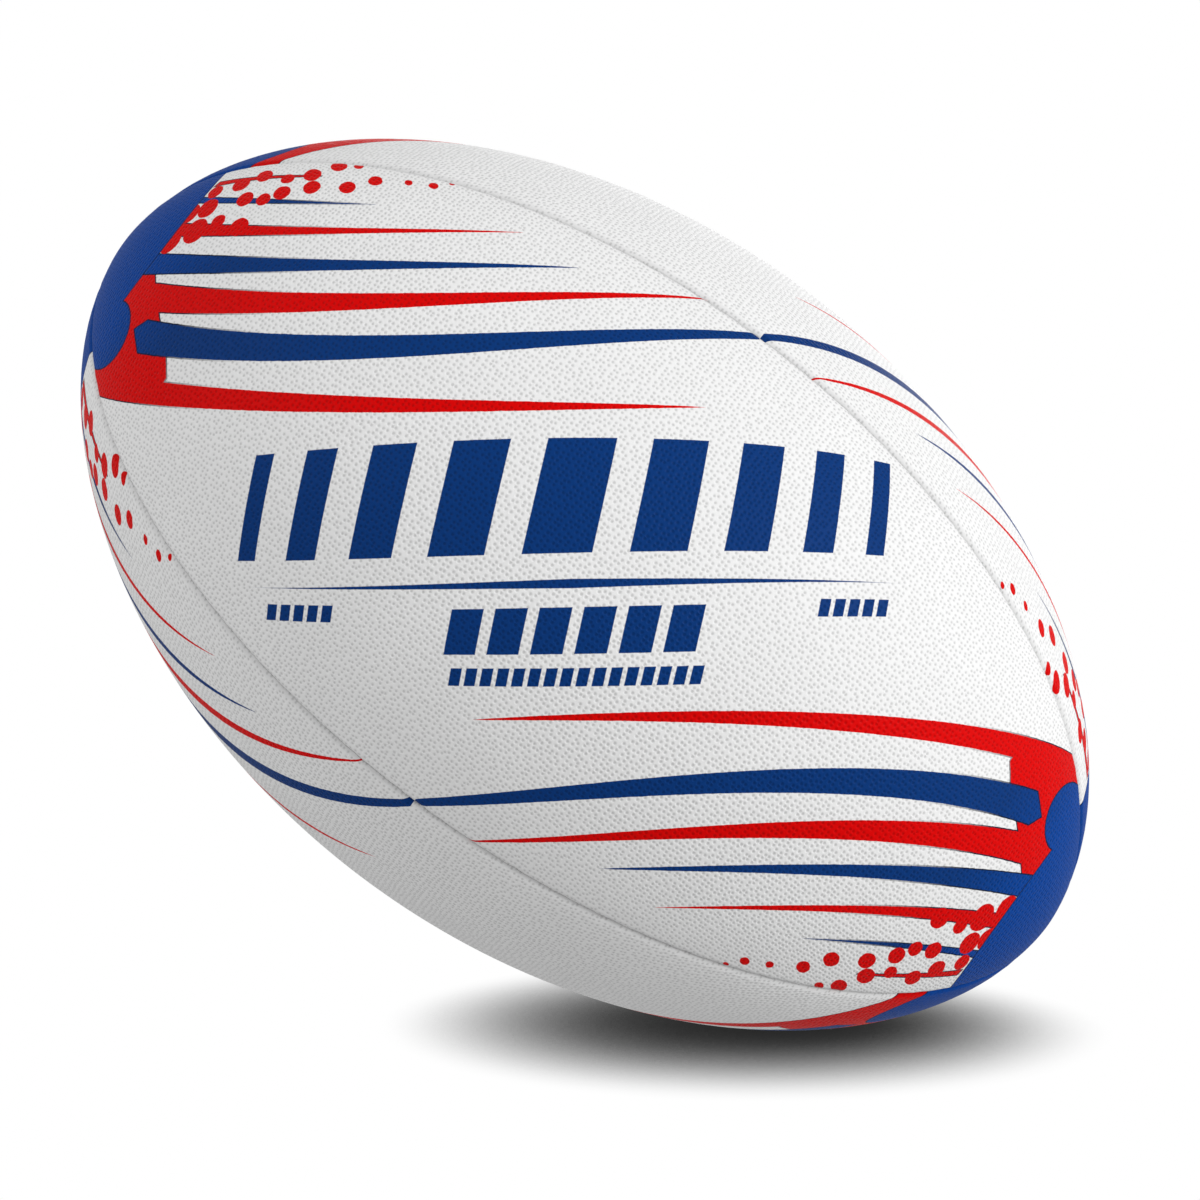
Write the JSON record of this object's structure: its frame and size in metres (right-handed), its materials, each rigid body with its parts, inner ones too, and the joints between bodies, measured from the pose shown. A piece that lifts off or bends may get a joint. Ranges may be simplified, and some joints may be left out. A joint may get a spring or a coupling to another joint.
{
  "type": "rugby ball",
  "caption": "Inflated rugby ball with pebbled rubber panels, hand-stitched inner seams, fabric backing plies, a bladder and an inflation valve.",
  "frame": {"origin": "the ball's centre, on its long axis halfway between the two tips", "axes": "+X along the long axis, -Y through the middle of the front panel, +Y through the middle of the back panel and its valve, +Z through the middle of the top panel"},
  "size_m": [0.292, 0.1858, 0.186],
  "materials": {
    "skin_rubber": "pebbled grip rubber, white with printed dark blue and red stripes, satin",
    "outer_ply": "woven cotton ply stiffened with latex, matte",
    "lining": "woven polyester lining, matte",
    "thread": "waxed twisted polyester thread",
    "bladder": "smooth butyl rubber, dusted, satin",
    "valve_housing": "moulded rubber, satin",
    "valve_plug": "moulded soft rubber, satin",
    "valve_patch": "rubberised canvas, matte"
  },
  "bodies": {
    "root": {"panel_front_skin": "skin_rubber", "panel_top_skin": "skin_rubber", "panel_back_skin": "skin_rubber", "panel_bottom_skin": "skin_rubber", "panel_front_outer_ply": "outer_ply", "panel_top_outer_ply": "outer_ply", "panel_back_outer_ply": "outer_ply", "panel_bottom_outer_ply": "outer_ply", "panel_front_lining": "lining", "panel_top_lining": "lining", "panel_back_lining": "lining", "panel_bottom_lining": "lining", "seam_thread_front_top": "thread", "seam_thread_back_top": "thread", "seam_thread_back_bottom": "thread", "seam_thread_front_bottom": "thread", "bladder": "bladder", "valve_housing": "valve_housing", "valve_plug": "valve_plug", "valve_patch": "valve_patch"}
  },
  "joints": []
}
